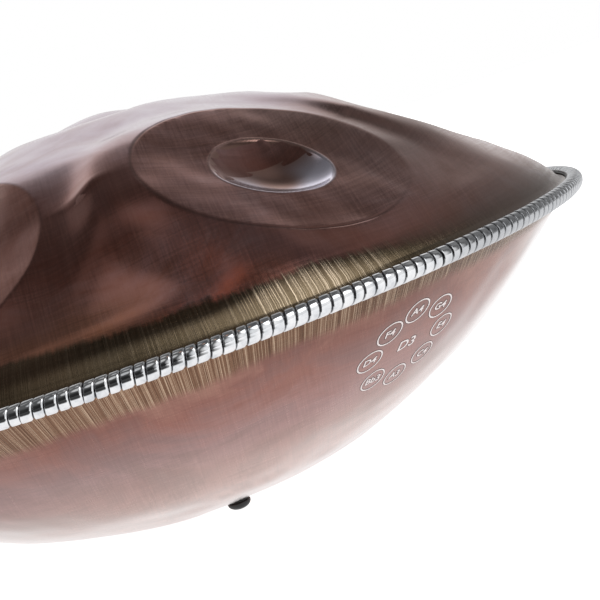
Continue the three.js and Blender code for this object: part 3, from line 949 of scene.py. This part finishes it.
def lower_steel():
    n = Nodes("steel_lower_looks")
    where, radius, cx, cy = n.place()
    fine, coarse, mesh = brushing(n, where, radius, cx, cy)
    cloud = heat_cloud(n, where)
    down = n.math("MULTIPLY_ADD", n.math("SUBTRACT", cloud, 0.5), 0.028, radius)
    colour = n.ramp(n.span(down, *BOWL_TINT_RADII, smooth=False), BOWL_TINTS)
    shade = n.span(cloud, 0.1, 0.9, 0.82, 1.18)
    colour = n.mix(1.0, colour, n.vector(shade, shade, shade), "MULTIPLY")
    band = near_rim(n, radius, cx, cloud, coarse, *BOWL_BAND_START)
    gold = n.ramp(n.span(fine, 0.3, 0.7, smooth=False), BOWL_BAND_TINTS)
    gold = n.mix(n.span(cx, 0.0, 0.6, 0.0, 0.5), gold, BOWL_BAND_RIGHT_TINT)
    colour = n.mix(band, colour, gold)
    # Painted sheen where the surface is seen edge-on, kept off the band.
    edge_on = n.add("ShaderNodeLayerWeight")
    edge_on.inputs["Blend"].default_value = 0.5
    grazing_sheen = n.span(edge_on.outputs["Facing"], 0.72, 1.0, 0.0, 0.9)
    grazing_sheen = n.math("MULTIPLY", grazing_sheen, n.math("MULTIPLY_ADD", band, -0.8, 1.0))
    colour = n.mix(grazing_sheen, colour, GRAZING_SHEEN_TINT)
    return brushed_finish(n, colour, band, fine, mesh, scratches=0.40, roughness=0.22, mesh_contrast=0.09)


TRIM_TINTS = [(0.0, (0.62, 0.64, 0.67)), (0.5, (0.78, 0.79, 0.81)), (1.0, (0.88, 0.88, 0.89))]
# Painted shade: the trim's right part is painted a darker grey, standing in for the grey it mirrors there.
TRIM_RIGHT_SHADE_TINT = (0.38, 0.39, 0.41)
# Painted shade: the gaps between the trim's turns are painted near black, standing in for the shade in
# them.
TRIM_GROOVE_SHADE_TINT = (0.015, 0.015, 0.018)


def trim_metal():
    n = Nodes("trim_looks")
    where, _, cx, _ = n.place()
    scuff = n.noise(where, 900.0, 4.0, 0.65)
    smear = n.noise(where, 160.0, 3.0, 0.6)
    bright = n.ramp(n.span(smear, 0.3, 0.7, smooth=False), TRIM_TINTS)
    # The trim's right part: painted darker grey as painted shade, and also made rougher.
    dull_and_shaded = n.span(cx, 0.44, 0.60)
    bright = n.mix(n.math("MULTIPLY", dull_and_shaded, 0.75), bright, TRIM_RIGHT_SHADE_TINT)
    # Painted shade in the gaps between the turns.
    colour = n.mix(n.math("MULTIPLY", n.attribute("groove"), 0.95), bright, TRIM_GROOVE_SHADE_TINT)
    rough = n.span(scuff, 0.3, 0.75, 0.04, 0.13, smooth=False)
    rough = n.math("MULTIPLY_ADD", dull_and_shaded, 0.18, rough)
    n.bump(n.math("ADD", scuff, n.math("MULTIPLY", smear, 0.8)), 0.10, 0.0001)
    return n.finish(Base_Color=colour, Metallic=1.0, Roughness=rough)


def rubber(name, dark, light, rough_low, rough_high):
    n = Nodes(name)
    where = n.where()
    grain = n.noise(where, 2200.0, 3.0, 0.6)
    worn = n.noise(where, 120.0, 3.0, 0.6)
    colour = n.mix(n.span(worn, 0.35, 0.7), dark, light)
    rough = n.span(worn, 0.3, 0.7, rough_low, rough_high, smooth=False)
    n.bump(n.math("ADD", grain, n.math("MULTIPLY", worn, 0.5)), 0.3, 0.0001)
    return n.finish(Base_Color=colour, Metallic=0.0, Roughness=rough)


def pad_adhesive():
    n = Nodes("pad_looks")
    foam = n.noise(n.where(), 1800.0, 3.0, 0.6)
    colour = n.mix(n.span(foam, 0.35, 0.7), (0.012, 0.012, 0.012), (0.03, 0.03, 0.03))
    n.bump(foam, 0.4, 0.0001)
    return n.finish(Base_Color=colour, Metallic=0.0, Roughness=n.span(foam, 0.3, 0.7, 0.5, 0.7))


def etched(name, dark, light):
    n = Nodes(name)
    speckle = n.noise(n.where(), 1500.0, 3.0, 0.6)
    colour = n.mix(n.span(speckle, 0.3, 0.7), dark, light)
    n.bump(speckle, 0.3, 0.00005)
    return n.finish(Base_Color=colour, Metallic=0.6, Roughness=0.5)


def paint(obj, material):
    obj.data.materials.clear()
    obj.data.materials.append(material)


# ---- the pieces and their materials ----
upper = build_upper_shell()
lower = build_lower_shell()
liner = build_liner()
trim = build_trim()
feet = [build_foot(k + 1) for k in range(FEET)]
marks = build_marks("note_names", 0.0, MARK_LIFT)
outlines = build_marks("note_name_edges", OUTLINE_WIDTH, OUTLINE_LIFT)

paint(upper, upper_steel())
paint(lower, lower_steel())
paint(trim, trim_metal())
paint(liner, rubber("edging_looks", (0.012, 0.012, 0.013), (0.03, 0.03, 0.032), 0.45, 0.65))
foot_rubber = rubber("foot_looks", (0.010, 0.010, 0.011), (0.028, 0.028, 0.03), 0.35, 0.55)
for foot in feet:
    paint(foot, foot_rubber)
paint(marks, etched("etch_light_looks", (0.78, 0.70, 0.69), (0.92, 0.86, 0.85)))
paint(outlines, etched("etch_dark_looks", (0.05, 0.03, 0.03), (0.11, 0.065, 0.06)))

pad_material = pad_adhesive()
bond_material = rubber("bond_looks", (0.05, 0.05, 0.055), (0.09, 0.09, 0.1), 0.4, 0.7)
for node_name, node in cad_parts.items():
    if node_name.startswith("foot_pad"):
        paint(node, pad_material)
    if node_name == "flange_bond":
        paint(node, bond_material)


# ---- floor, light and camera ----
FLOOR_HALF = 30.0


def build_floor():
    """White to the camera. What the steel mirrors glows, with a painted shadow dimming it near the drum and
    painted shade in front of the drum's left half.
    """
    h = FLOOR_HALF
    corners = [(x, y, GROUND) for x, y in ((-h, -h), (h, -h), (h, h), (-h, h))]
    floor = new_object("floor", corners, [(0, 1, 2, 3)], smooth=False)
    n = Nodes("floor_looks")
    where, radius, cx, cy = n.place()
    white = n.mix(n.noise(where, 3.0, 2.0), (0.90, 0.90, 0.90), (0.93, 0.93, 0.93))
    # Painted shadow: the glow that the steel mirrors dims towards the drum's middle, standing in for the
    # shadow under it.
    lit = n.span(radius, 0.05, 0.30, 0.80, 0.95)
    # Painted shade: a dark patch in front of the drum's left half, for the steel to mirror.
    in_front = n.span(n.math("MULTIPLY", cy, radius), -0.37, -0.46)
    to_left = n.span(n.math("MULTIPLY", cx, radius), 0.16, -0.02)
    shade = n.math("MULTIPLY", in_front, to_left)
    lit = n.math("MULTIPLY", lit, n.math("SUBTRACT", 1.0, n.math("MULTIPLY", shade, 0.97)))
    seen = n.add("ShaderNodeLightPath").outputs["Is Camera Ray"]
    glow = n.math("MAXIMUM", lit, seen)
    colour = n.mix(seen, n.mix(shade, (0.30, 0.30, 0.30), (0.03, 0.03, 0.03)), white)
    n.finish(Base_Color=colour, Roughness=0.9)
    paint(floor, n.finish(Emission_Color=(1, 1, 1, 1), Emission_Strength=glow))


def area_light(name, place, target, size, power, colour=(1, 1, 1)):
    data = bpy.data.lights.new(name, "AREA")
    data.shape = "RECTANGLE"
    data.size, data.size_y = size
    data.energy = power
    data.color = colour
    lamp = bpy.data.objects.new(name, data)
    lamp.location = place
    lamp.rotation_euler = (Vector(target) - Vector(place)).to_track_quat("-Z", "Y").to_euler()
    bpy.context.scene.collection.objects.link(lamp)


# Studio brightness by the sine of the height looked at: a pale backdrop with a dim ceiling over it.
BACKDROP = [(0.0, 1.0), (0.59, 1.0), (0.67, 0.6), (0.73, 0.34), (0.86, 0.17), (1.0, 0.12)]
# Share of that brightness from the front (0) round the sides to straight behind the drum (1).
ROUND = [(0.0, 0.02), (0.3, 0.05), (0.62, 0.2), (0.88, 0.28), (0.925, 0.42), (0.955, 0.85), (0.98, 1.0)]
# Soft panels: the way round and the height of the middle, the half-width where the light starts and
# where it is full, all in degrees, and the brightness.
PANELS = [
    (-48, 18, 44, 24, 0.95),
    (124, 46, 10, 4, 0.32),
    (-110, 56, 16, 9, 0.6),
    (125, 84, 10, 1, 0.55),
    (-48, 52, 16, 5, 1.3),
    (26, 44, 24, 8, 0.26),
    (163, 68, 12, 3, 0.28),
]


def greys(levels):
    return [(place, (grey, grey, grey)) for place, grey in levels]


def panel_glow(n, looked, azimuth, height, start, full, bright):
    """Brightness of one round soft panel in the direction looked at."""
    a, e = math.radians(azimuth), math.radians(height)
    dot = n.add("ShaderNodeVectorMath", operation="DOT_PRODUCT")
    n.set(dot.inputs[0], looked)
    dot.inputs[1].default_value = (math.cos(a) * math.cos(e), math.sin(a) * math.cos(e), math.sin(e))
    start, full = math.cos(math.radians(start)), math.cos(math.radians(full))
    return n.span(dot.outputs["Value"], start, full, 0, bright)


def build_world():
    """White to the camera; what the steel mirrors is the graded backdrop and the soft panels."""
    world = bpy.data.worlds.new("studio")
    bpy.context.scene.world = world
    world.use_nodes = True
    n = Nodes(None, world.node_tree)
    looked = n.add("ShaderNodeTexCoord").outputs["Generated"]
    x, y, z = n.split(looked)
    behind = n.math("DIVIDE", y, n.math("MAXIMUM", n.length(x, y), 0.001))
    behind = n.math("MULTIPLY_ADD", behind, 0.5, 0.5)
    grey = n.math("MULTIPLY", n.ramp(z, greys(BACKDROP)), n.ramp(behind, greys(ROUND)))
    grey = n.math("MAXIMUM", grey, n.span(z, 0.35, 0.75, 0.02, 0.12))
    for panel in PANELS:
        grey = n.math("MAXIMUM", grey, panel_glow(n, looked, *panel))
    seen = n.add("ShaderNodeLightPath").outputs["Is Camera Ray"]
    background = n.add("ShaderNodeBackground")
    background.inputs["Color"].default_value = (1, 1, 1, 1)
    n.set(background.inputs["Strength"], n.math("MAXIMUM", grey, seen))
    out = n.add("ShaderNodeOutputWorld")
    n.set(out.inputs[0], background.outputs[0])


# The camera: its height angle, roll, rim radius as a share of its distance, turn, tip and lens.
ELEVATION = math.radians(4.84)
RIM_SHARE = 0.30
ROLL = math.radians(19.46)
DISTANCE = RIM_RADIUS * MM / RIM_SHARE
TURN = math.radians(5.676)
TIP = math.radians(0.53)
LENS = 87.43


def rotate(first, second, angle):
    """Turns two square directions in their plane, the first one towards the second."""
    c, s = math.cos(angle), math.sin(angle)
    return first * c + second * s, second * c - first * s


def build_camera():
    """Looks at the rim's centre from the front, rolled, then turned so the drum sits to the left."""
    place = Vector((0, -math.cos(ELEVATION), math.sin(ELEVATION))) * DISTANCE
    ahead = -place.normalized()
    right = Vector((1, 0, 0))
    up = right.cross(ahead)
    up, right = rotate(up, right, ROLL)
    ahead, right = rotate(ahead, right, TURN)
    ahead, up = rotate(ahead, up, TIP)
    data = bpy.data.cameras.new("camera")
    data.lens = LENS
    data.sensor_width = 36.0
    data.clip_start = 0.01
    camera = bpy.data.objects.new("camera", data)
    basis = Matrix((right, up, -ahead)).transposed().to_4x4()
    camera.matrix_world = Matrix.Translation(place + Vector((0, 0, RIM_Z))) @ basis
    bpy.context.scene.collection.objects.link(camera)
    bpy.context.scene.camera = camera


build_floor()
build_world()
area_light("side", place=(1.1, -1.2, 1.6), target=(0, 0, 0.1), size=(1.2, 1.2), power=5)
area_light("warm", place=(0.32, -0.61, 2.37), target=(0, -0.2, 0.1), size=(0.22, 0.22), power=0.09,
           colour=(1.0, 0.48, 0.28))
build_camera()
bpy.context.scene.view_settings.view_transform = "Standard"
